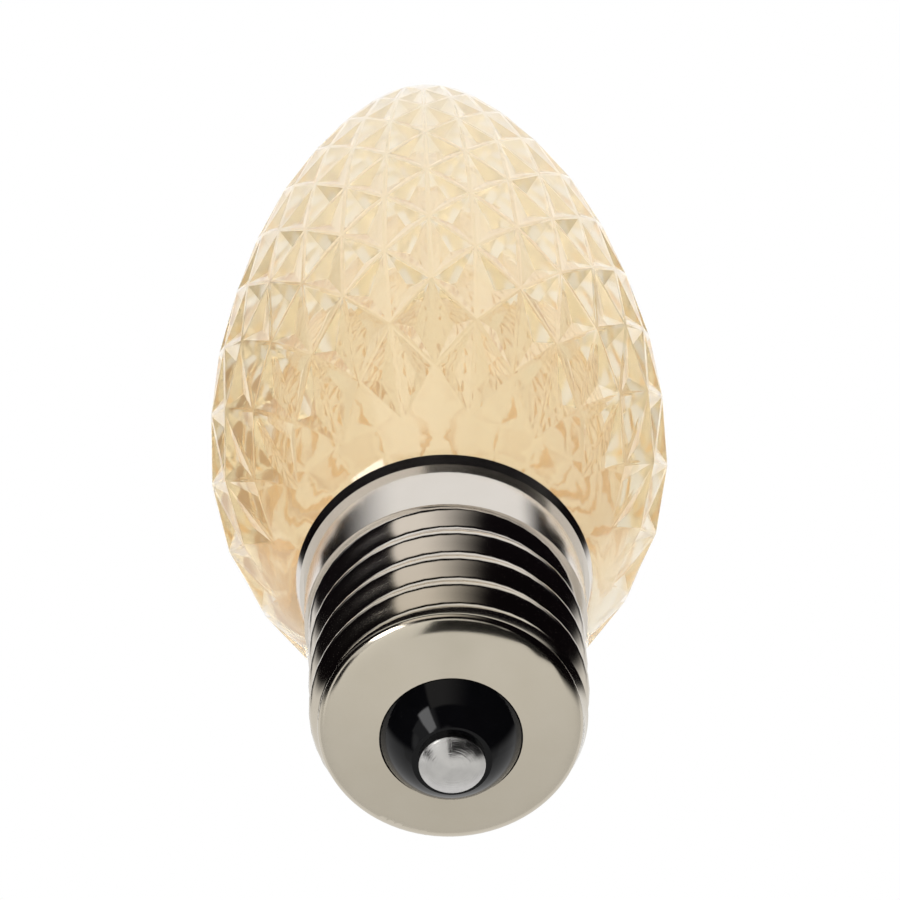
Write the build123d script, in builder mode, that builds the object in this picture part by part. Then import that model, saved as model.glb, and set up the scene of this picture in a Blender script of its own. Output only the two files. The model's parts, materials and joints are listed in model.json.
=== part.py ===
# Faceted light bulb for an outdoor Christmas string: a hollow clear lens on a screw base.
# Units are millimetres. +Z runs along the bulb's axis from the base to the tip of the lens.
# The origin is the lowest point of the centre contact, on the axis.
import os
from math import ceil, cos, radians, sin, tan

from build123d import *

# Screw shell: a thin drawn metal cup with a round rolled thread, a plain collar and a flared lip
thread_crest_r = 8.3
thread_depth = 0.67
thread_pitch = 2.822
thread_start_z = 4.55
crest_z = 7.05
outer_steps = 48
outer_rows_per_turn = 12
inner_steps = 32
inner_rows_per_turn = 8
shell_wall = 0.3
end_hole_r = 4.21
end_hole_z = 3.13
end_edge_z = 4.05
cup_step = 0.5
end_rounding = 0.3
run_out_height = 1.7
run_out_margin = 0.1
collar_step = 0.2
collar_start_z = 15.5
rim_foot_step = 0.28
rim_flare = 0.22
rim_start_z = 19.6
rim_top_z = 20.36

# Centre contact: a nail with a low domed head
contact_r = 1.95
contact_rim_z = 0.35
contact_seat_z = 0.75
contact_flat_r = 0.45
shank_r = 0.75
shank_length = 2.4

# Insulator: a glossy black cone through the end hole, with a flange inside the shell
insulator_nose_r = 2.35
insulator_bulge = 0.2
flange_clearance = 0.6
insulator_top_z = 5.6
hole_clearance = 0.06

# Lens outline: radii, and how far each one stands above the last
shoulder_r = 11.96
shoulder_rise = 4.74
widest_r = 14.35
widest_rise = 10.2
upper_r = 13.58
upper_rise = 11.8
taper_r = 11.25
taper_rise = 12.0
crown_r = 8.6
crown_rise = 8.2
cap_r = 6.2
cap_rise = 5.8
nose_r = 3.0
nose_rise = 3.9
tip_rise = 1.0
neck_flare = 0.8
end_pulls = (0.7, 0.4)
lens_wall = 1.6
hollow_shares = (0.12, 0.25, 0.38, 0.51, 0.64, 0.78, 0.93)
spigot_wall = 1.2
spigot_clearance = 0.1

# Facets of the lens: a lattice of ridges with a three-sided pit in every cell
meridian_pairs = 16
row_pairs = 7
plain_neck_arc = 2.3
plain_tip_arc = 8.0
neck_rings = 2
tip_rings = 5
ridge_width = 0.3
pit_slope = 22.0
facing_meridian = 1

# Circuit inside the base and neck
led_board_thickness = 1.0
led_board_clearance = 0.15
led_r = 1.5
led_height = 5.3
led_flange_r = 1.9
led_flange_height = 0.8
led_leg_r = 0.25
led_leg_step = 2.54
led_leg_length = 0.8
leg_clearance = 0.05
ring_leds = 4
led_wall_gap = 0.4
driver_side_gap = 1.83
driver_thickness = 1.0
driver_drop = 1.4
driver_gap = 0.6
part_edge_gap = 0.8
capacitor_width = 6.0
capacitor_height = 4.4
capacitor_depth = 3.4
capacitor_fillet = 0.5
bridge_width = 4.7
bridge_height = 3.4
bridge_depth = 1.6
bridge_chamfer = 0.3
resistor_width = 3.2
resistor_height = 1.5
resistor_depth = 0.6
resistor_gap = 1.2
wire_r = 0.3
wire_overlap = 1.4
pin_r = 0.32
pin_span = 5.8
pin_stand = 0.3
solder_r = 0.9
solder_length = 1.0
solder_grip = 0.5

# Sizes and places that follow from the ones above
thread_bore_r = thread_crest_r - thread_depth - shell_wall
cup_r = thread_crest_r - cup_step
end_edge_r = cup_r - end_rounding
collar_r = thread_crest_r + collar_step
rim_foot_r = collar_r + rim_foot_step
rim_r = rim_foot_r + rim_flare
insulator_flange_r = cup_r - shell_wall - flange_clearance
driver_width = 2 * (thread_bore_r - driver_side_gap)
shoulder_z = rim_top_z + shoulder_rise
widest_z = shoulder_z + widest_rise
upper_z = widest_z + upper_rise
taper_z = upper_z + taper_rise
crown_z = taper_z + crown_rise
cap_z = crown_z + cap_rise
nose_z = cap_z + nose_rise
tip_z = nose_z + tip_rise
shoulder_seat_z = collar_start_z + shell_wall
inner_collar_r = collar_r - shell_wall
led_board_top_z = shoulder_seat_z + led_board_thickness
spigot_r = inner_collar_r - spigot_clearance
spigot_inner_r = spigot_r - spigot_wall
led_ring_r = spigot_inner_r - led_wall_gap - led_flange_r
end_slope = (end_edge_z - end_hole_z) / (end_edge_r - end_hole_r)
face_azimuth = -90


# Screw shell

def rolled_thread(inset, steps, rows_per_turn):
    """A round thread: a circle slides round a small helix, and every facet is a flat parallelogram."""
    eccentricity = thread_depth / 2
    core_r = thread_crest_r - eccentricity - inset
    height = shoulder_seat_z - thread_start_z
    rows = ceil(height / thread_pitch * rows_per_turn)

    def corner(step, row):
        z = thread_start_z + height * row / rows
        centre = radians(face_azimuth + 360 * (z - crest_z) / thread_pitch)
        turn = radians(360 * step / steps)
        x = eccentricity * cos(centre) + core_r * cos(turn)
        y = eccentricity * sin(centre) + core_r * sin(turn)
        return Vector(x, y, z)

    facets = []
    for row in range(rows):
        for step in range(steps):
            low, high = (corner(step, row), corner(step + 1, row)), (corner(step + 1, row + 1), corner(step, row + 1))
            facets.append(Face(Wire.make_polygon(low + high)))
    for row in (0, rows):
        facets.append(Face(Wire.make_polygon([corner(step, row) for step in range(steps)])))
    return Solid(Shell(facets))


def run_out(inset):
    """The flaring envelope inside which the thread dies away into the end of the cup."""
    full_r = thread_crest_r + run_out_margin - inset
    with BuildPart() as envelope:
        with BuildSketch(Plane.XZ):
            with BuildLine():
                Polyline(
                    (0, thread_start_z),
                    (cup_r - inset, thread_start_z),
                    (full_r, thread_start_z + run_out_height),
                    (full_r, shoulder_seat_z),
                    (0, shoulder_seat_z),
                    close=True,
                )
            make_face()
        revolve(axis=Axis.Z)
    return envelope.part


thread_outside = rolled_thread(0, outer_steps, outer_rows_per_turn) & run_out(0)
thread_inside = rolled_thread(shell_wall, inner_steps, inner_rows_per_turn) & run_out(shell_wall)

with BuildPart() as shell_form:
    with BuildSketch(Plane.XZ):
        with BuildLine():
            Line((0, end_hole_z), (end_hole_r, end_hole_z))
            Line((end_hole_r, end_hole_z), (end_edge_r, end_edge_z))
            TangentArc((end_edge_r, end_edge_z), (cup_r, thread_start_z), tangent=(1, end_slope))
            Line((cup_r, thread_start_z), (0, thread_start_z))
            Line((0, thread_start_z), (0, end_hole_z))
        make_face()
    revolve(axis=Axis.Z)
    add(thread_outside)
    with BuildSketch(Plane.XY.offset(collar_start_z)):
        Circle(collar_r)
    extrude(amount=rim_top_z - collar_start_z)
    with BuildSketch(Plane.XZ):
        Polygon((0, rim_start_z), (rim_foot_r, rim_start_z), (rim_r, rim_top_z), (0, rim_top_z), align=None)
    revolve(axis=Axis.Z)

with BuildPart() as shell_hollow:
    with BuildSketch(Plane.XZ):
        with BuildLine():
            Polyline(
                (0, end_hole_z + shell_wall),
                (end_hole_r, end_hole_z + shell_wall),
                (end_edge_r, end_edge_z + shell_wall),
                (cup_r - shell_wall, thread_start_z + shell_wall),
                (0, thread_start_z + shell_wall),
                close=True,
            )
        make_face()
    revolve(axis=Axis.Z)
    add(thread_inside)
    with BuildSketch(Plane.XY.offset(shoulder_seat_z)):
        Circle(inner_collar_r)
    extrude(amount=rim_top_z - shoulder_seat_z)
    with BuildSketch(Plane.XY.offset(end_hole_z)):
        Circle(end_hole_r)
    extrude(amount=thread_start_z - end_hole_z)

with BuildPart() as screw_shell:
    add(shell_form.part)
    add(shell_hollow.part, mode=Mode.SUBTRACT)
screw_shell.part.label = "screw_shell"

# Centre contact

with BuildPart() as centre_contact:
    with BuildSketch(Plane.XZ):
        with BuildLine():
            Line((0, 0), (contact_flat_r, 0))
            TangentArc((contact_flat_r, 0), (contact_r, contact_rim_z), tangent=(1, 0))
            Polyline(
                (contact_r, contact_rim_z),
                (contact_r, contact_seat_z),
                (shank_r, contact_seat_z),
                (shank_r, contact_seat_z + shank_length),
                (0, contact_seat_z + shank_length),
                (0, 0),
            )
        make_face()
    revolve(axis=Axis.Z)
centre_contact.part.label = "centre_contact"

# Insulator

with BuildPart() as insulator:
    throat_r = end_hole_r - hole_clearance
    inner_hole_z = end_hole_z + shell_wall
    flange_z = inner_hole_z + (insulator_flange_r - end_hole_r) * end_slope
    with BuildSketch(Plane.XZ):
        with BuildLine():
            nose = Vector(insulator_nose_r, contact_seat_z)
            throat = Vector(throat_r, end_hole_z)
            along = (throat - nose).normalized()
            crown = (nose + throat) * 0.5 + Vector(along.Y, -along.X) * insulator_bulge
            ThreePointArc(nose, crown, throat)
            Polyline(
                throat,
                (throat_r, inner_hole_z),
                (end_hole_r, inner_hole_z),
                (insulator_flange_r, flange_z),
                (insulator_flange_r, insulator_top_z),
                (shank_r, insulator_top_z),
                (shank_r, contact_seat_z),
                nose,
            )
        make_face()
    revolve(axis=Axis.Z)
insulator.part.label = "insulator"

# Lens

with BuildLine() as lens_outline:
    Spline(
        (rim_r, rim_top_z),
        (shoulder_r, shoulder_z),
        (widest_r, widest_z),
        (upper_r, upper_z),
        (taper_r, taper_z),
        (crown_r, crown_z),
        (cap_r, cap_z),
        (nose_r, nose_z),
        (0, tip_z),
        tangents=[(shoulder_r - rim_r, neck_flare * (shoulder_z - rim_top_z)), (-1, 0)],
        tangent_scalars=end_pulls,
    )
outline = lens_outline.edges()[0]
last_row = 2 * row_pairs
row_arc = (outline.length - plain_neck_arc - plain_tip_arc) / last_row
meridian_angle = 180 / meridian_pairs


def skin_point(arc, meridian):
    """The point of the lens on a meridian, at a length along its outline from the rim."""
    place = outline.position_at(arc / outline.length)
    azimuth = radians(face_azimuth + (meridian - facing_meridian) * meridian_angle)
    return Vector(place.X * cos(azimuth), place.X * sin(azimuth), place.Y)


def lattice_node(row, meridian):
    return skin_point(plain_neck_arc + row * row_arc, meridian)


def plain_cell(a, b, c):
    return Face(Wire.make_polygon([a, b, c]))


def pitted_cell(a, b, c):
    """Half a ridge of flat frame round a three-sided pit, with a, b, c counter-clockwise."""
    opposite = ((b - c).length, (c - a).length, (a - b).length)
    girth = sum(opposite)
    centre = (a * opposite[0] + b * opposite[1] + c * opposite[2]) * (1 / girth)
    normal = (b - a).cross(c - a)
    in_radius = normal.length / girth
    kept = 1 - ridge_width / 2 / in_radius
    rim = [centre + (corner - centre) * kept for corner in (a, b, c)]
    bottom = centre - normal.normalized() * (in_radius * kept * tan(radians(pit_slope)))
    frame = Face(Wire.make_polygon([a, b, c]), [Wire.make_polygon(rim)])
    sides = [plain_cell(rim[i], rim[(i + 1) % 3], bottom) for i in range(3)]
    return [frame] + sides


def strip_of_cells(even, odd):
    """The cells between an even meridian, with nodes on even rows, and the odd one beside it."""
    cells = []
    for row in range(last_row - 1):
        near, far = (even, odd) if row % 2 == 0 else (odd, even)
        low, apex, high = lattice_node(row, near), lattice_node(row + 1, far), lattice_node(row + 2, near)
        cells += pitted_cell(low, apex, high) if far > near else pitted_cell(high, apex, low)
    for row, next_row in ((0, 1), (last_row, last_row - 1)):
        cells.append(plain_cell(lattice_node(row, even), lattice_node(row, odd), lattice_node(next_row, odd)))
    return cells


def plain_belts(start_arc, end_arc, belts):
    """Flat-sided rings of the plain skin between two lengths along the outline."""
    quads = []
    for belt in range(belts):
        low = start_arc + (end_arc - start_arc) * belt / belts
        high = start_arc + (end_arc - start_arc) * (belt + 1) / belts
        for meridian in range(2 * meridian_pairs):
            corners = [skin_point(low, meridian), skin_point(low, meridian + 1)]
            corners += [skin_point(high, meridian + 1), skin_point(high, meridian)]
            quads.append(Face(Wire.make_polygon(corners)))
    return quads


tip_start_arc = outline.length - plain_tip_arc
tip_fan_arc = outline.length - plain_tip_arc / (tip_rings + 1)
skin_faces = [Face(Wire.make_polygon([skin_point(0, meridian) for meridian in range(2 * meridian_pairs)]))]
skin_faces += plain_belts(0, plain_neck_arc, neck_rings)
for even in range(0, 2 * meridian_pairs, 2):
    skin_faces += strip_of_cells(even, even + 1)
    skin_faces += strip_of_cells(even, even - 1)
skin_faces += plain_belts(tip_start_arc, tip_fan_arc, tip_rings)
for meridian in range(2 * meridian_pairs):
    near, far = skin_point(tip_fan_arc, meridian), skin_point(tip_fan_arc, meridian + 1)
    skin_faces.append(plain_cell(near, far, Vector(0, 0, tip_z)))
lens_skin = Solid(Shell(skin_faces))


def inside_point(share):
    """A point one wall inside the outline, at a share of its length."""
    place, run = outline.position_at(share), outline.tangent_at(share)
    return (place.X - lens_wall * run.Y, place.Y + lens_wall * run.X)


with BuildPart() as lens_hollow:
    with BuildSketch(Plane.XZ):
        with BuildLine():
            Line((0, led_board_top_z), (spigot_inner_r, led_board_top_z))
            Line((spigot_inner_r, led_board_top_z), (spigot_inner_r, rim_top_z))
            marks = [(spigot_inner_r, rim_top_z), *map(inside_point, hollow_shares), (0, tip_z - lens_wall)]
            for first in range(0, len(marks) - 3, 2):
                ThreePointArc(*marks[first : first + 3])
            Spline(*marks[-3:], tangents=[outline.tangent_at(hollow_shares[-2]), (-1, 0)])
            Line((0, tip_z - lens_wall), (0, led_board_top_z))
        make_face()
    revolve(axis=Axis.Z)

with BuildPart() as lens:
    add(lens_skin)
    with BuildSketch(Plane.XY.offset(led_board_top_z)):
        Circle(spigot_r)
    extrude(amount=rim_top_z - led_board_top_z)
    add(lens_hollow.part, mode=Mode.SUBTRACT)
lens.part.label = "lens"

# Board that carries the light-emitting diodes across the neck

led_places = [Vector(0, 0)] + [
    Vector(led_ring_r, 0).rotate(Axis.Z, 360 * (step + 0.5) / ring_leds) for step in range(ring_leds)
]
pin_places = [(-pin_span / 2, 0), (pin_span / 2, 0)]
driver_back_y = pin_r

with BuildPart() as led_board:
    with BuildSketch(Plane.XY.offset(shoulder_seat_z)):
        Circle(inner_collar_r - led_board_clearance)
        with Locations(*led_places):
            with GridLocations(led_leg_step, 0, 2, 1):
                Circle(led_leg_r + leg_clearance, mode=Mode.SUBTRACT)
        with Locations(*pin_places):
            Circle(pin_r, mode=Mode.SUBTRACT)
    extrude(amount=led_board_thickness)
led_board.part.label = "led_board"

led_nodes = []
for number, place in enumerate(led_places, start=1):
    with BuildPart() as led:
        with BuildSketch(Plane.XY.offset(led_board_top_z)):
            with Locations(place):
                Circle(led_flange_r)
        extrude(amount=led_flange_height)
        with BuildSketch(Plane.XY.offset(led_board_top_z)):
            with Locations(place):
                Circle(led_r)
        extrude(amount=led_height - led_r)
        with Locations((place.X, place.Y, led_board_top_z + led_height - led_r)):
            Sphere(led_r)
        with BuildSketch(Plane.XY.offset(shoulder_seat_z - led_leg_length)):
            with Locations(place):
                with GridLocations(led_leg_step, 0, 2, 1):
                    Circle(led_leg_r)
        extrude(amount=led_board_thickness + led_leg_length)
    led.part.label = f"led_{number}"
    led_nodes.append(led.part)

# Driver board, standing in the base below the other board

driver_top_z = shoulder_seat_z - driver_drop
driver_bottom_z = insulator_top_z + driver_gap
driver_front_y = driver_back_y + driver_thickness

with BuildPart() as driver_board:
    with BuildSketch(Plane.XY.offset(driver_bottom_z)):
        with Locations((0, (driver_back_y + driver_front_y) / 2)):
            Rectangle(driver_width, driver_thickness)
    extrude(amount=driver_top_z - driver_bottom_z)
driver_board.part.label = "driver_board"

with BuildPart() as capacitor:
    capacitor_top_z = driver_top_z - part_edge_gap
    with BuildSketch(Plane.XY.offset(capacitor_top_z - capacitor_height)):
        with Locations((0, driver_front_y + capacitor_depth / 2)):
            Rectangle(capacitor_width, capacitor_depth)
    extrude(amount=capacitor_height)
    fillet(faces().sort_by(Axis.Y)[-1].edges(), capacitor_fillet)
capacitor.part.label = "capacitor"

bridge_z = (driver_top_z + driver_bottom_z) / 2
with BuildPart() as bridge_rectifier:
    with BuildSketch(Plane.XY.offset(bridge_z - bridge_height / 2)):
        with Locations((0, driver_back_y - bridge_depth / 2)):
            Rectangle(bridge_width, bridge_depth)
    extrude(amount=bridge_height)
    chamfer(faces().sort_by(Axis.Y)[0].edges(), bridge_chamfer)
bridge_rectifier.part.label = "bridge_rectifier"

resistor_nodes = []
for number, side in enumerate((-1, 1), start=1):
    with BuildPart() as resistor:
        with BuildSketch(Plane.XY.offset(driver_bottom_z + part_edge_gap)):
            with Locations((side * (resistor_width + resistor_gap) / 2, driver_front_y + resistor_depth / 2)):
                Rectangle(resistor_width, resistor_depth)
        extrude(amount=resistor_height)
    resistor.part.label = f"resistor_{number}"
    resistor_nodes.append(resistor.part)

# Wires, pins and solder

with BuildPart() as link_pins:
    with BuildSketch(Plane.XY.offset(driver_top_z - wire_overlap)):
        with Locations(*pin_places):
            Circle(pin_r)
    extrude(amount=led_board_top_z + pin_stand - driver_top_z + wire_overlap)
link_pins.part.label = "link_pins"

with BuildPart() as centre_lead:
    with BuildSketch(Plane.XY.offset(contact_seat_z + shank_length)):
        with Locations((0, driver_back_y - wire_r)):
            Circle(wire_r)
    extrude(amount=driver_bottom_z + wire_overlap - contact_seat_z - shank_length)
centre_lead.part.label = "centre_lead"

solder_start_x = thread_bore_r - solder_length
side_lead_start_x = driver_width / 2 - wire_overlap
side_lead_plane = Plane((side_lead_start_x, driver_back_y - wire_r, bridge_z), z_dir=(1, 0, 0))
with BuildPart() as side_lead:
    with BuildSketch(side_lead_plane):
        Circle(wire_r)
    extrude(amount=solder_start_x + solder_grip - side_lead_start_x)
side_lead.part.label = "side_lead"

solder_plane = Plane((solder_start_x, driver_back_y - wire_r, bridge_z), z_dir=(1, 0, 0))
with BuildPart() as shell_solder:
    with BuildSketch(solder_plane):
        Circle(solder_r)
    extrude(amount=collar_r - solder_start_x)
    add(shell_hollow.part, mode=Mode.INTERSECT)
    add(side_lead.part, mode=Mode.SUBTRACT)
shell_solder.part.label = "shell_solder"

nodes = [
    screw_shell.part,
    insulator.part,
    centre_contact.part,
    lens.part,
    led_board.part,
    *led_nodes,
    driver_board.part,
    capacitor.part,
    bridge_rectifier.part,
    *resistor_nodes,
    link_pins.part,
    centre_lead.part,
    side_lead.part,
    shell_solder.part,
]
os.makedirs("parts", exist_ok=True)
for node in nodes:
    export_step(node, f"parts/{node.label}.step")
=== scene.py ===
# %% [markdown]
# # Faceted bulb for an outdoor Christmas string
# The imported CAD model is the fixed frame: every part is already in its place, in metres, with the base's
# centre contact at the origin and the lens pointing up +Z. This notebook dresses that frame, lights it like
# a product photograph and looks at it from below and in front, where the screw base is nearest.

# %% Load the frame
import json
from math import atan2, cos, hypot, radians, sin

import bpy
from mathutils import Matrix, Vector


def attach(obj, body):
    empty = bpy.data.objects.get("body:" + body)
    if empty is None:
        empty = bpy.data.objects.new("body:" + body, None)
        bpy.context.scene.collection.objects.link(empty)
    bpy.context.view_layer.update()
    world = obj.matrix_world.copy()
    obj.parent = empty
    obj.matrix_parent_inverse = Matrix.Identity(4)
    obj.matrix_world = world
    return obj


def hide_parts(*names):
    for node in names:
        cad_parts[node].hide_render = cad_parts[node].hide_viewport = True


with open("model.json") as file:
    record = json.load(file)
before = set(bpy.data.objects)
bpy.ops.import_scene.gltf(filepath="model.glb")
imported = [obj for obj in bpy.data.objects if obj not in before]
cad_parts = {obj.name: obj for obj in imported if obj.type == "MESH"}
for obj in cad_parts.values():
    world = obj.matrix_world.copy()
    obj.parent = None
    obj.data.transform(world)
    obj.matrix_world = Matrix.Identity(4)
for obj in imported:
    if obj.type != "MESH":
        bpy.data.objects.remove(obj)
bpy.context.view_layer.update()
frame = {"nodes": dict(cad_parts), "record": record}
MM = 0.001

# %% [markdown]
# ## Colours and nodes
# Colours are chosen as the screen shows them, in sRGB hex, but shaders work on linear light. One
# function turns the first into the second. One more adds a shader node, sets it and links it, so that each
# finish below reads as a short list of nodes.

# %% Helpers for materials


def linear(code):
    """A hex colour such as #c8b496 as linear light, fully opaque."""
    parts = [int(code[i : i + 2], 16) / 255 for i in (1, 3, 5)]
    return [c / 12.92 if c <= 0.04045 else ((c + 0.055) / 1.055) ** 2.4 for c in parts] + [1.0]


def add(tree, kind, sockets=None, **settings):
    """Add one node. Each socket is given a value, or another node's output to link from."""
    node = tree.nodes.new(kind)
    for name, value in settings.items():
        setattr(node, name, value)
    for name, value in (sockets or {}).items():
        if isinstance(value, bpy.types.NodeSocket):
            tree.links.new(value, node.inputs[name])
        else:
            node.inputs[name].default_value = value
    return node


def new_material(name):
    material = bpy.data.materials.new(name)
    material.use_nodes = True
    material.node_tree.nodes.clear()
    return material, material.node_tree


def finish_material(tree, shader):
    add(tree, "ShaderNodeOutputMaterial", {"Surface": shader.outputs[0]})


print("cream #e8d4ad is", [round(c, 3) for c in linear("#e8d4ad")])

# %% [markdown]
# ## Clear lens: injection-moulded polycarbonate
# The lens is one thin moulding of clear polycarbonate with a warm tint. It is glossy straight from a
# polished mould and bends light strongly (IOR 1.585), and a faint waviness from cooling keeps the facets
# from looking like cut crystal. Light takes up the tint at each surface that it crosses, which warms the
# pits a little. Their honey-brown flanks on the left are painted light: a honey card glows behind the lens
# and is seen through it alone. A render follows light through only so many facets before it goes dark, so
# after a few crossings a ray is let straight out through a deeper tint.

# %% Clear polycarbonate

wave_size, wave_height = 1.6 * MM, 0.05 * MM
crossings_followed = 3.5


def clear_polycarbonate():
    material, tree = new_material("clear_polycarbonate")
    place = add(tree, "ShaderNodeTexCoord").outputs["Object"]
    waves = add(tree, "ShaderNodeTexNoise", {
        "Vector": place, "Scale": 1 / wave_size, "Detail": 2.0, "Roughness": 0.4,
    })
    bump = add(tree, "ShaderNodeBump", {
        "Height": waves.outputs["Fac"], "Strength": 0.25, "Distance": wave_height,
    })
    shader = add(tree, "ShaderNodeBsdfPrincipled", {
        "Base Color": linear("#faf1da"),
        "Roughness": 0.04,
        "IOR": 1.585,
        "Transmission Weight": 0.84,
        "Normal": bump.outputs["Normal"],
    })
    depth = add(tree, "ShaderNodeLightPath").outputs["Ray Depth"]
    trapped = add(tree, "ShaderNodeMath", {0: depth, 1: crossings_followed}, operation="GREATER_THAN")
    let_out = add(tree, "ShaderNodeBsdfTransparent", {"Color": linear("#f6e0b2")})
    mix = add(tree, "ShaderNodeMixShader", {
        0: trapped.outputs[0], 1: shader.outputs[0], 2: let_out.outputs[0],
    })
    finish_material(tree, mix)
    return material


lens_plastic = clear_polycarbonate()
print("made", lens_plastic.name)

# %% [markdown]
# ## Copies of CAD nodes
# A CAD node's mesh is loose triangles and stays as it is. A piece that needs more than a finish is copied,
# and the doubled corners of the copy are merged into one skin, which modifiers and smooth shading need. The
# copy then stands for its node.

# %% Copy a node as one clean skin

weld_reach = 0.002 * MM


def only(piece):
    """Select one object and nothing else."""
    bpy.ops.object.select_all(action="DESELECT")
    piece.select_set(True)
    bpy.context.view_layer.objects.active = piece


def skin_of(node, name):
    """A merged copy of a CAD node, with its place in its mesh."""
    source = frame["nodes"][node]
    piece = bpy.data.objects.new(name, source.data.copy())
    bpy.context.scene.collection.objects.link(piece)
    only(piece)
    bpy.ops.mesh.customdata_custom_splitnormals_clear()
    bpy.ops.object.mode_set(mode="EDIT")
    bpy.ops.mesh.select_all(action="SELECT")
    bpy.ops.mesh.remove_doubles(threshold=weld_reach)
    bpy.ops.object.mode_set(mode="OBJECT")
    return piece


def dress(piece, material):
    piece.data.materials.clear()
    piece.data.materials.append(material)


print("corners closer than", round(weld_reach / MM, 4), "mm are merged")

# %% [markdown]
# ## Lens moulding
# The CAD lens has every facet, but its edges are perfectly sharp. A real mould rounds them by about a tenth
# of a millimetre, and that round is what draws the light ridges. The bevel asks for that round. The mesh's
# shortest edges hold it to a few hundredths of a millimetre at most, and the smooth shading across the
# bevel does the rest of the softening.

# %% Soften the lens's edges

mould_round = 0.1 * MM
lens = skin_of("lens", "lens_moulding")
soften = lens.modifiers.new("soften", "BEVEL")
soften.limit_method = "ANGLE"
soften.angle_limit = radians(12)
soften.width = mould_round
soften.segments = 2
bpy.ops.object.modifier_apply(modifier="soften")
bpy.ops.object.shade_smooth_by_angle(angle=radians(18))
dress(lens, lens_plastic)
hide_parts("lens")
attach(lens, "root")
print("lens_moulding:", len(lens.data.polygons), "faces")

# %% [markdown]
# ## Nickel-plated shell
# The screw shell is brass, drawn and rolled, then plated with bright nickel, which is a little warmer and
# darker than chrome. Rolling leaves faint lines round the axis, drawn 0.15 mm apart, since the real ones
# are too fine for the picture. Trimming leaves short nicks across the lip. Cloudy patches 2 to 3 mm across
# vary its tone and roughness. Toward the end its colour is painted darker and warmer, as painted shade for
# the dimmer reflections of the lower thread and the end ring. Lines and nicks follow the turning, so their
# pattern reads the angle round the axis and the height.

# %% Bright nickel

lines_per_radian, line_spacing = 3.0, 0.15 * MM
nicks_per_radian, nick_length = 70.0, 3.0 * MM
lip_foot, lip_full = 19.5 * MM, 19.7 * MM
relief_height = 0.01 * MM
cloud_size = 2.5 * MM
# Heights where the painted shade toward the end starts, and where it is full.
painted_shade_top, painted_shade_full = 16.0 * MM, 5.0 * MM


def bright_nickel():
    material, tree = new_material("bright_nickel_plate")
    place = add(tree, "ShaderNodeTexCoord").outputs["Object"]
    parts = add(tree, "ShaderNodeSeparateXYZ", {"Vector": place}).outputs
    turn = add(tree, "ShaderNodeMath", {0: parts["X"], 1: parts["Y"]}, operation="ARCTAN2")
    unrolled = add(tree, "ShaderNodeCombineXYZ", {"X": turn.outputs[0], "Z": parts["Z"]}).outputs[0]

    rolled = add(tree, "ShaderNodeMapping", {
        "Vector": unrolled, "Scale": (lines_per_radian, 1.0, 1 / line_spacing),
    })
    lines = add(tree, "ShaderNodeTexNoise", {"Vector": rolled.outputs[0], "Scale": 1.0, "Detail": 3.0})
    trimmed = add(tree, "ShaderNodeMapping", {
        "Vector": unrolled, "Scale": (nicks_per_radian, 1.0, 1 / nick_length),
    })
    nicks = add(tree, "ShaderNodeTexNoise", {"Vector": trimmed.outputs[0], "Scale": 1.0, "Detail": 2.0})
    on_lip = add(tree, "ShaderNodeMapRange", {
        "Value": parts["Z"], "From Min": lip_foot, "From Max": lip_full,
    })
    relief = add(tree, "ShaderNodeMix", {
        "Factor": on_lip.outputs["Result"], 2: lines.outputs["Fac"], 3: nicks.outputs["Fac"],
    })
    bump = add(tree, "ShaderNodeBump", {
        "Height": relief.outputs[0], "Strength": 0.15, "Distance": relief_height,
    })

    clouds = add(tree, "ShaderNodeTexNoise", {"Vector": place, "Scale": 1 / cloud_size, "Detail": 5.0})
    rough = add(tree, "ShaderNodeMapRange", {
        "Value": clouds.outputs["Fac"], "To Min": 0.09, "To Max": 0.18,
    })
    # Painted shade: the colour grows darker and warmer toward the end.
    painted_end_shade = add(tree, "ShaderNodeMapRange", {
        "Value": parts["Z"], "From Min": painted_shade_top, "From Max": painted_shade_full, "To Min": 0.0, "To Max": 0.7,
    })
    clouds_and_painted_shade = add(tree, "ShaderNodeMath", {
        0: clouds.outputs["Fac"], 1: 0.2, 2: painted_end_shade.outputs["Result"],
    }, operation="MULTIPLY_ADD")
    colour = add(tree, "ShaderNodeMix", {
        "Factor": clouds_and_painted_shade.outputs[0], 6: linear("#ddd7d0"), 7: linear("#bbb2a0"),
    }, data_type="RGBA")
    shader = add(tree, "ShaderNodeBsdfPrincipled", {
        "Base Color": colour.outputs[2],
        "Metallic": 1.0,
        "Roughness": rough.outputs["Result"],
        "Normal": bump.outputs["Normal"],
    })
    finish_material(tree, shader)
    return material


nickel = bright_nickel()
print("made", nickel.name)

# %% [markdown]
# ## The bend at the shell's end
# A drawn cup turns from its flat end into its wall in a bend of about 1 mm, and the CAD bend is tighter.
# The loops that the bend already has are moved onto a broader curve, inside the same outline, which adds no
# faces. Averaged normals leave comb-like marks where the ring's long thin triangles meet the bend. So the
# ring and the bend take their normals from the curve itself, and the ring shades as flat as it is.

# %% Spread the end bend

# Places on the shell's profile are its distance from the axis and its height, in mm.
ring_edge, last_on_ring = Vector((5.31, 3.44)), Vector((6.75, 3.841))
lowest_loop, next_loop, highest_loop = 4.05, 4.07, 4.55
bend_start, bend_corner, bend_end = Vector((6.8, 3.855)), Vector((7.82, 4.139)), Vector((7.8, highest_loop))
bend_reach, inner_wall, inner_wall_foot = 7.49, 7.52, 4.2
touch = 0.01


def on_bend(reach, height):
    outside = reach > inner_wall or height < inner_wall_foot
    return reach > bend_reach and lowest_loop - touch < height < highest_loop + touch and outside


def on_ring(reach, height):
    slope = (bend_start.y - ring_edge.y) / (bend_start.x - ring_edge.x)
    off_ring = abs(height - ring_edge.y - slope * (reach - ring_edge.x))
    return off_ring < touch and height < lowest_loop - touch


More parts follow.
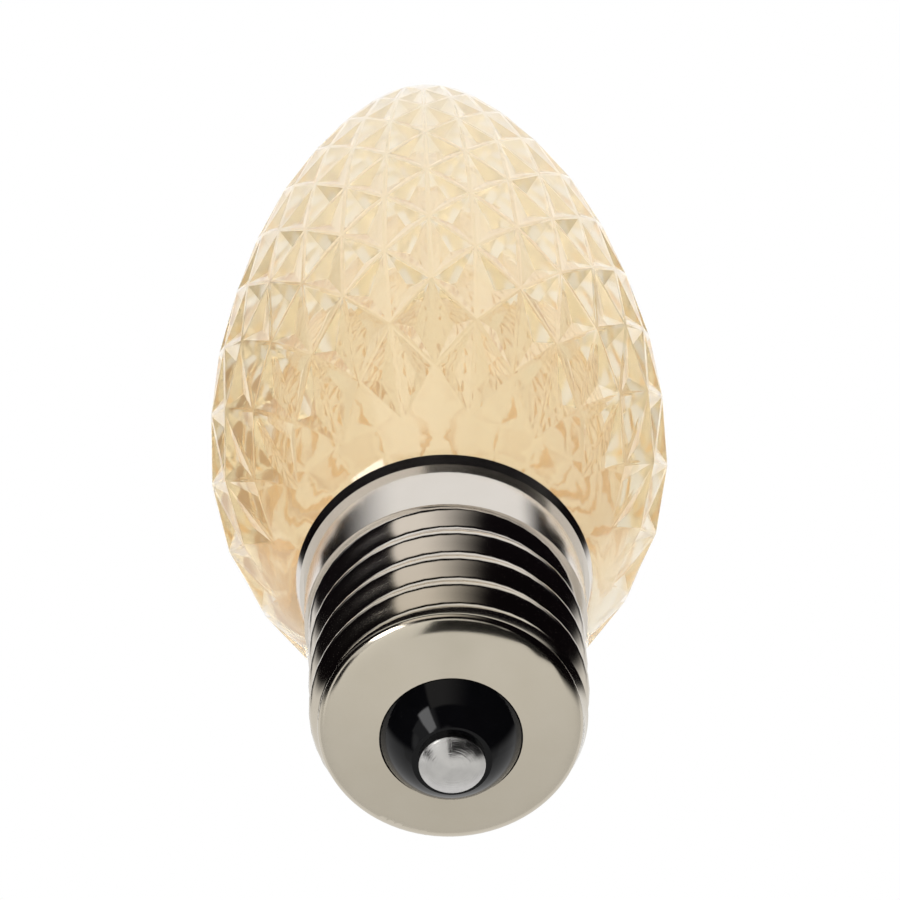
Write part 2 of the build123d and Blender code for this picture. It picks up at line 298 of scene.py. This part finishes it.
def round_end_edge(piece):
    """Move the bend's loops onto the curve, and return the curve's normal at each corner it shades."""
    normals = {}
    for vertex in piece.data.vertices:
        out = Vector((vertex.co.x, vertex.co.y, 0)).normalized()
        reach, height = hypot(vertex.co.x, vertex.co.y) / MM, vertex.co.z / MM
        bends = on_bend(reach, height)
        if bends or on_ring(reach, height):
            along = min(1.0, max(0.0, (height - next_loop) / (highest_loop - next_loop)) ** 0.5)
            back = 1 - along
            slope = back * (bend_corner - bend_start) + along * (bend_end - bend_corner)
            normals[vertex.index] = (slope.y * out - Vector((0, 0, slope.x))).normalized()
        if bends and height < highest_loop - touch:
            place = back**2 * bend_start + 2 * along * back * bend_corner + along**2 * bend_end
            if height < lowest_loop + touch:
                place = last_on_ring
            vertex.co = (place.x * out + Vector((0, 0, place.y))) * MM
    return normals


print("the spread bend is", round(highest_loop - bend_start.y, 2), "mm high")

# %% Shade and dress the shell


def shade_smooth_with(piece, normals):
    """Shade smooth, and give each face whose corners all have a normal of their own those normals."""
    bpy.ops.object.shade_smooth_by_angle(angle=radians(28))
    corners = [normal.vector.copy() for normal in piece.data.corner_normals]
    for face in piece.data.polygons:
        if all(index in normals for index in face.vertices):
            for loop, index in zip(face.loop_indices, face.vertices):
                corners[loop] = normals[index]
    piece.data.normals_split_custom_set(corners)


shell = skin_of("screw_shell", "shell_metal")
curve_normals = round_end_edge(shell)
shade_smooth_with(shell, curve_normals)
dress(shell, nickel)
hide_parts("screw_shell")
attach(shell, "root")
print("shell_metal:", len(shell.data.polygons), "faces,", len(curve_normals), "corners on the curve")

# %% [markdown]
# ## Finishes with one slow pattern
# Most other surfaces are plain, and what keeps them from looking drawn is a slight drift. One finish with a
# colour that drifts between two near values, and a bump of the same pattern, serves them all. Each use
# gives the size of its own grain or wave in mm. The first is the insulator's: black glass fused into the
# end of the base.

# %% A finish that drifts


def speckled(
    name, low, high, roughness, size_mm, metallic=0.0, bump_mm=0.01, ior=1.5, transmission=0.0, specular=0.5
):
    """A finish whose colour drifts between two values at a real size, with a bump of the same pattern."""
    material, tree = new_material(name)
    place = add(tree, "ShaderNodeTexCoord").outputs["Object"]
    grain = add(tree, "ShaderNodeTexNoise", {
        "Vector": place, "Scale": 1 / (size_mm * MM), "Detail": 4.0,
    }).outputs["Fac"]
    colour = add(tree, "ShaderNodeMix", {
        "Factor": grain, 6: linear(low), 7: linear(high),
    }, data_type="RGBA")
    bump = add(tree, "ShaderNodeBump", {"Height": grain, "Strength": 0.3, "Distance": bump_mm * MM})
    sockets = {
        "Base Color": colour.outputs[2],
        "Roughness": roughness,
        "Metallic": metallic,
        "Transmission Weight": transmission,
        "Normal": bump.outputs["Normal"],
    }
    if not metallic:
        sockets.update({"IOR": ior, "Specular IOR Level": specular})
    finish_material(tree, add(tree, "ShaderNodeBsdfPrincipled", sockets))
    return material


# Glass fused in place sets with a fire-polished, faintly wavy skin.
insulator_glass = speckled(
    "fused_black_glass", "#040405", "#09090b", 0.06, 1.2, bump_mm=0.004, ior=1.52, specular=0.15
)
print("made", insulator_glass.name)

# %% [markdown]
# ## Centre contact: turned and tinned steel
# The contact is the head of a nail, turned to a shallow cone and tinned. Turning leaves fine rings round
# its middle, drawn 0.12 mm apart so that they show, and sockets scuff it in patches about 1 mm across. The
# CAD head is a plain low dome. The cone's slope and the rings are a height in metres that the bump reads as
# it is.

# %% Turned contact

ring_spacing, ring_depth, rings_per_radian = 0.12 * MM, 0.02 * MM, 0.8
scuff_size = 0.9 * MM
cone_slope = -0.2


def turned_contact():
    material, tree = new_material("turned_tinned_steel")
    place = add(tree, "ShaderNodeTexCoord").outputs["Object"]
    parts = add(tree, "ShaderNodeSeparateXYZ", {"Vector": place}).outputs
    flat = add(tree, "ShaderNodeCombineXYZ", {"X": parts["X"], "Y": parts["Y"]})
    reach = add(tree, "ShaderNodeVectorMath", {0: flat.outputs[0]}, operation="LENGTH").outputs["Value"]
    turn = add(tree, "ShaderNodeMath", {0: parts["X"], 1: parts["Y"]}, operation="ARCTAN2")
    unrolled = add(tree, "ShaderNodeCombineXYZ", {"X": turn.outputs[0], "Y": reach})
    rings = add(tree, "ShaderNodeMapping", {
        "Vector": unrolled.outputs[0], "Scale": (rings_per_radian, 1 / ring_spacing, 1.0),
    })
    marks = add(tree, "ShaderNodeTexNoise", {"Vector": rings.outputs[0], "Scale": 1.0, "Detail": 4.0})
    cut = add(tree, "ShaderNodeMath", {0: marks.outputs["Fac"], 1: ring_depth}, operation="MULTIPLY")
    cone = add(tree, "ShaderNodeMath", {
        0: reach, 1: cone_slope, 2: cut.outputs[0],
    }, operation="MULTIPLY_ADD")
    bump = add(tree, "ShaderNodeBump", {"Height": cone.outputs[0], "Strength": 1.0, "Distance": 1.0})

    scuffs = add(tree, "ShaderNodeTexNoise", {
        "Vector": place, "Scale": 1 / scuff_size, "Detail": 3.0,
    }).outputs["Fac"]
    rough = add(tree, "ShaderNodeMapRange", {"Value": scuffs, "To Min": 0.1, "To Max": 0.24})
    colour = add(tree, "ShaderNodeMix", {
        "Factor": scuffs, 6: linear("#a9a7a6"), 7: linear("#d2d0cd"),
    }, data_type="RGBA")
    finish_material(tree, add(tree, "ShaderNodeBsdfPrincipled", {
        "Base Color": colour.outputs[2],
        "Metallic": 1.0,
        "Roughness": rough.outputs["Result"],
        "Normal": bump.outputs["Normal"],
    }))
    return material


contact_metal = turned_contact()
print("made", contact_metal.name)

# %% [markdown]
# ## The inside
# Inside the bulb are two boards with diodes that point into the lens, and small parts. They are seen only
# as soft shapes through the lens, if at all, so a plain finish for each real material is enough. Each
# finish goes on the CAD nodes of its slot, and so do the insulator's and the contact's.

# %% Dress the other nodes

finishes = {
    "black_insulator": insulator_glass,
    "contact_metal": contact_metal,
    # A printed solder mask is an even white with a low sheen.
    "circuit_board": speckled("white_solder_mask", "#e2e2da", "#eeeee6", 0.35, 0.8, ior=1.55),
    # Cast epoxy is clear and smooth. Here it is a little milky, for the chip and cup that it has inside.
    "diode_resin": speckled(
        "water_clear_epoxy", "#f4eedf", "#faf6ec", 0.1, 1.0, transmission=0.6, ior=1.55
    ),
    # Moulded epoxy with a mineral filler is near black and dull.
    "dark_component": speckled("moulded_black_epoxy", "#151516", "#222224", 0.5, 0.15, ior=1.55),
    # A dipped coat of resin is a glossy brown.
    "capacitor_case": speckled("dipped_capacitor_resin", "#7d3512", "#8f4218", 0.3, 0.6),
    # Tin on copper wire is pale, soft and a little dull.
    "tinned_copper": speckled("tinned_copper_wire", "#b9b6b0", "#d0cdc6", 0.28, 0.4, metallic=1.0),
}
for part in frame["record"]["subparts"]:
    if part["material_slot"] in finishes:
        dress(frame["nodes"][part["node"]], finishes[part["material_slot"]])
print("finishes:", ", ".join(sorted(finishes)))

# %% [markdown]
# ## Camera
# The photograph looks up at the base from about 59 degrees below level, some 39 centimetres away from it,
# with a long lens. These numbers were fitted to the outline of the base and lens. The camera is turned by a
# hair to the side, and rolled by 2.5 degrees, because the bulb leans in the picture.

# %% Camera

camera_place = Vector((0, -213.96, -320.39)) * MM
camera_target = Vector((0, 0, 35.83)) * MM
camera_yaw, camera_roll = 0.0017, -0.0429
camera_focal_pixels, frame_pixels, sensor_mm = 6640.3, 900, 36


def turned(first, second, angle):
    """Two square directions after a turn in their own plane, from the first toward the second."""
    return cos(angle) * first + sin(angle) * second, cos(angle) * second - sin(angle) * first


ahead = (camera_target - camera_place).normalized()
right = ahead.cross(Vector((0, 0, 1))).normalized()
up = right.cross(ahead)
ahead, right = turned(ahead, right, camera_yaw)
right, up = turned(right, up, camera_roll)

camera_data = bpy.data.cameras.new("camera")
camera_data.sensor_width = sensor_mm
camera_data.lens = camera_focal_pixels * sensor_mm / frame_pixels
camera = bpy.data.objects.new("camera", camera_data)
bpy.context.scene.collection.objects.link(camera)
camera.matrix_world = Matrix.Translation(camera_place) @ Matrix((right, up, -ahead)).transposed().to_4x4()
bpy.context.scene.camera = camera
bpy.context.scene.view_settings.view_transform = "Standard"
print("camera lens", round(camera_data.lens, 1), "mm")

# %% [markdown]
# ## White room
# The bulb hangs in white light, as in a product photograph. The world is plain white to the camera, to
# reflections and through the plastic, and a little gentler as a light, so that pale surfaces don't clip.

# %% World

lighting_level, seen_level = 0.85, 1.0
world = bpy.data.worlds.new("white_room")
bpy.context.scene.world = world
world.use_nodes = True
room = world.node_tree
room.nodes.clear()
rays = add(room, "ShaderNodeLightPath").outputs
seen = rays["Is Camera Ray"]
for kind_of_ray in ("Is Glossy Ray", "Is Transmission Ray"):
    seen = add(room, "ShaderNodeMath", {0: seen, 1: rays[kind_of_ray]}, operation="MAXIMUM").outputs[0]
level = add(room, "ShaderNodeMapRange", {"Value": seen, "To Min": lighting_level, "To Max": seen_level})
glow = add(room, "ShaderNodeBackground", {"Color": (1, 1, 1, 1), "Strength": level.outputs["Result"]})
add(room, "ShaderNodeOutputWorld", {"Surface": glow.outputs[0]})
print("world:", world.name)

# %% [markdown]
# ## Floor and flat cards
# A pale floor lies far below the bulb. Views from above see it, and the base mirrors it. Two black cards
# lie just over it, in front and to the right. Only reflections see them, and they darken what the lower
# faces of the base mirror.

# %% Floor and flat cards


def sheet(name, centre, width, height, facing, material):
    """A flat card of the studio, in millimetres, that faces a point."""
    bpy.ops.mesh.primitive_plane_add(size=1)
    card = bpy.context.object
    card.name = name
    away = (Vector(facing) - Vector(centre)).normalized()
    card.matrix_world = (
        Matrix.Translation(Vector(centre) * MM)
        @ away.to_track_quat("Z", "Y").to_matrix().to_4x4()
        @ Matrix.Diagonal((width * MM, height * MM, 1, 1))
    )
    dress(card, material)
    return card


def show_only_in(card, kind):
    """Hide a card from everything but one kind of ray, glossy or transmission."""
    card.visible_camera = card.visible_diffuse = card.visible_shadow = False
    card.visible_glossy = kind == "glossy"
    card.visible_transmission = kind == "transmission"


floor_paint = speckled("pale_floor_paint", "#f0f0ee", "#f6f6f4", 0.8, 30.0)
black_card = speckled("black_card", "#050505", "#080808", 0.9, 5.0)
floor = sheet("floor", (0, 0, -450), 6000, 6000, (0, 0, 0), floor_paint)
show_only_in(sheet("dark_below", (110, -177, -440), 340, 305, (110, -177, 0), black_card), "glossy")
show_only_in(sheet("dark_beside", (420, -110, -438), 340, 300, (420, -110, 0), black_card), "glossy")
print("the floor is", round(-floor.location.z / MM), "mm below the contact")

# %% [markdown]
# ## Bent cards for the metal and the lens
# Bright metal shows the room more than itself, so the look of the base is made by what stands round it.
# Each card is part of a cylinder round the bulb, made from a primitive whose other faces are deleted, and
# its paint fades toward the edges, as the edge of a large soft light does. A dark card round the front
# gives the thread its dark flanks, and one on each side, further up, gives the collar its dark ends. A pale
# card lights the middle of the metal, and three windows on the left draw its highlights. A reflecting card
# is seen in a first reflection only, or it would show deep inside the lens as well. The honey card stands
# behind the lens on the left and is seen through the lens alone, where it colours the pits.

# %% Paint for a bent card

first_reflection = 1.5


def feathered(name, code, strength, half_turn, half_height, soft_turns, soft_height, first_only):
    """A lit surface that fades out toward the edges of a bent card, whose middle faces its own +X."""
    material, tree = new_material(name)
    place = add(tree, "ShaderNodeTexCoord").outputs["Object"]
    parts = add(tree, "ShaderNodeSeparateXYZ", {"Vector": place}).outputs
    turn = add(tree, "ShaderNodeMath", {0: parts["Y"], 1: parts["X"]}, operation="ARCTAN2").outputs[0]
    cover = 1.0
    for value, edge, inner in (
        (turn, radians(-half_turn), radians(soft_turns[0] - half_turn)),
        (turn, radians(half_turn), radians(half_turn - soft_turns[1])),
        (parts["Z"], -half_height * MM, (soft_height - half_height) * MM),
        (parts["Z"], half_height * MM, (half_height - soft_height) * MM),
    ):
        ramp = add(tree, "ShaderNodeMapRange", {
            "Value": value, "From Min": edge, "From Max": inner,
        }, interpolation_type="SMOOTHSTEP").outputs["Result"]
        cover = add(tree, "ShaderNodeMath", {0: cover, 1: ramp}, operation="MULTIPLY").outputs[0]
    if first_only:
        depth = add(tree, "ShaderNodeLightPath").outputs["Ray Depth"]
        first = add(tree, "ShaderNodeMath", {0: depth, 1: first_reflection}, operation="LESS_THAN").outputs[0]
        cover = add(tree, "ShaderNodeMath", {0: cover, 1: first}, operation="MULTIPLY").outputs[0]
    lit = add(tree, "ShaderNodeEmission", {"Color": linear(code), "Strength": strength})
    clear = add(tree, "ShaderNodeBsdfTransparent")
    mix = add(tree, "ShaderNodeMixShader", {0: cover, 1: clear.outputs[0], 2: lit.outputs[0]})
    finish_material(tree, mix)
    return material


print("paint is seen below a ray depth of", first_reflection)

# %% Bent cards

card_sides, spare_turn = 72, 3


def bent_card(name, radius, heights, azimuths, soft_turns, soft_height, code, strength=1.0, seen_in="glossy"):
    """A card bent round the bulb between two heights in mm and two azimuths in degrees, with soft edges.

    The azimuth runs from +X toward +Y, so 270 is the front.
    """
    middle = (heights[0] + heights[1]) / 2
    half_height, half_turn = (heights[1] - heights[0]) / 2, (azimuths[1] - azimuths[0]) / 2
    bpy.ops.mesh.primitive_cylinder_add(
        vertices=card_sides, radius=radius * MM, depth=2 * half_height * MM, end_fill_type="NOTHING",
        location=(0, 0, middle * MM), rotation=(0, 0, radians(azimuths[0] + half_turn)),
    )
    card = bpy.context.object
    card.name = name
    bpy.ops.object.mode_set(mode="EDIT")
    bpy.ops.mesh.select_all(action="DESELECT")
    bpy.ops.object.mode_set(mode="OBJECT")
    for face in card.data.polygons:
        face.select = abs(atan2(face.center.y, face.center.x)) > radians(half_turn + spare_turn)
    bpy.ops.object.mode_set(mode="EDIT")
    bpy.ops.mesh.delete(type="FACE")
    bpy.ops.object.mode_set(mode="OBJECT")
    dress(card, feathered(
        name + "_paint", code, strength, half_turn, half_height, soft_turns, soft_height, seen_in == "glossy"
    ))
    show_only_in(card, seen_in)


bent_card("dark_front", 400, (-430, 340), (160, 388), (12, 16), 50, "#0d0a0d")
bent_card("dark_left", 420, (150, 900), (146, 238), (8, 62), 120, "#0d0b0e")
bent_card("dark_right", 420, (150, 900), (335, 398), (25, 14), 120, "#0d0b0e")
bent_card("front_glow", 380, (-150, 135), (237, 302), (5, 46), 30, "#f2ede6", 1.05)
bent_card("window_left", 370, (-400, -120), (192, 249), (3, 12), 15, "#ffffff", 0.8)
bent_card("window_strip", 360, (-330, -85), (214, 238), (4, 3), 20, "#ffffff", 8.0)
bent_card("window_low", 375, (-250, -130), (140, 244), (30, 25), 50, "#ffffff", 1.2)
# Painted light: the honey card glows only for rays through the lens, and colours its pits.
bent_card("honey_left", 500, (60, 700), (105, 200), (25, 25), 80, "#bd8a42", 0.95, seen_in="transmission")

# %% [markdown]
# ## Lamps
# A large soft key stands to the right, in front and above, and a wide fill to the left, in front and below.
# They give the boards, the insulator and the floor their shading. Both are hidden from reflections and from
# rays through the plastic, where they would show as bright spots at the neck. The metal and the lens have
# the cards for that.

# %% Lamps

lamp_aim = Vector((0, 0, 30 * MM))


def softbox(name, centre, width, height, watts):
    """A rectangular lamp, placed and sized in millimetres, that faces the lower part of the lens."""
    lamp = bpy.data.lights.new(name, "AREA")
    lamp.shape = "RECTANGLE"
    lamp.size, lamp.size_y = width * MM, height * MM
    lamp.energy = watts
    box = bpy.data.objects.new(name, lamp)
    bpy.context.scene.collection.objects.link(box)
    box.location = Vector(centre) * MM
    box.rotation_euler = (lamp_aim - box.location).to_track_quat("-Z", "Y").to_euler()
    box.visible_glossy = box.visible_transmission = False


softbox("key", (500, -500, 300), 500, 500, 3.0)
softbox("fill", (-500, -300, -300), 800, 320, 1.6)
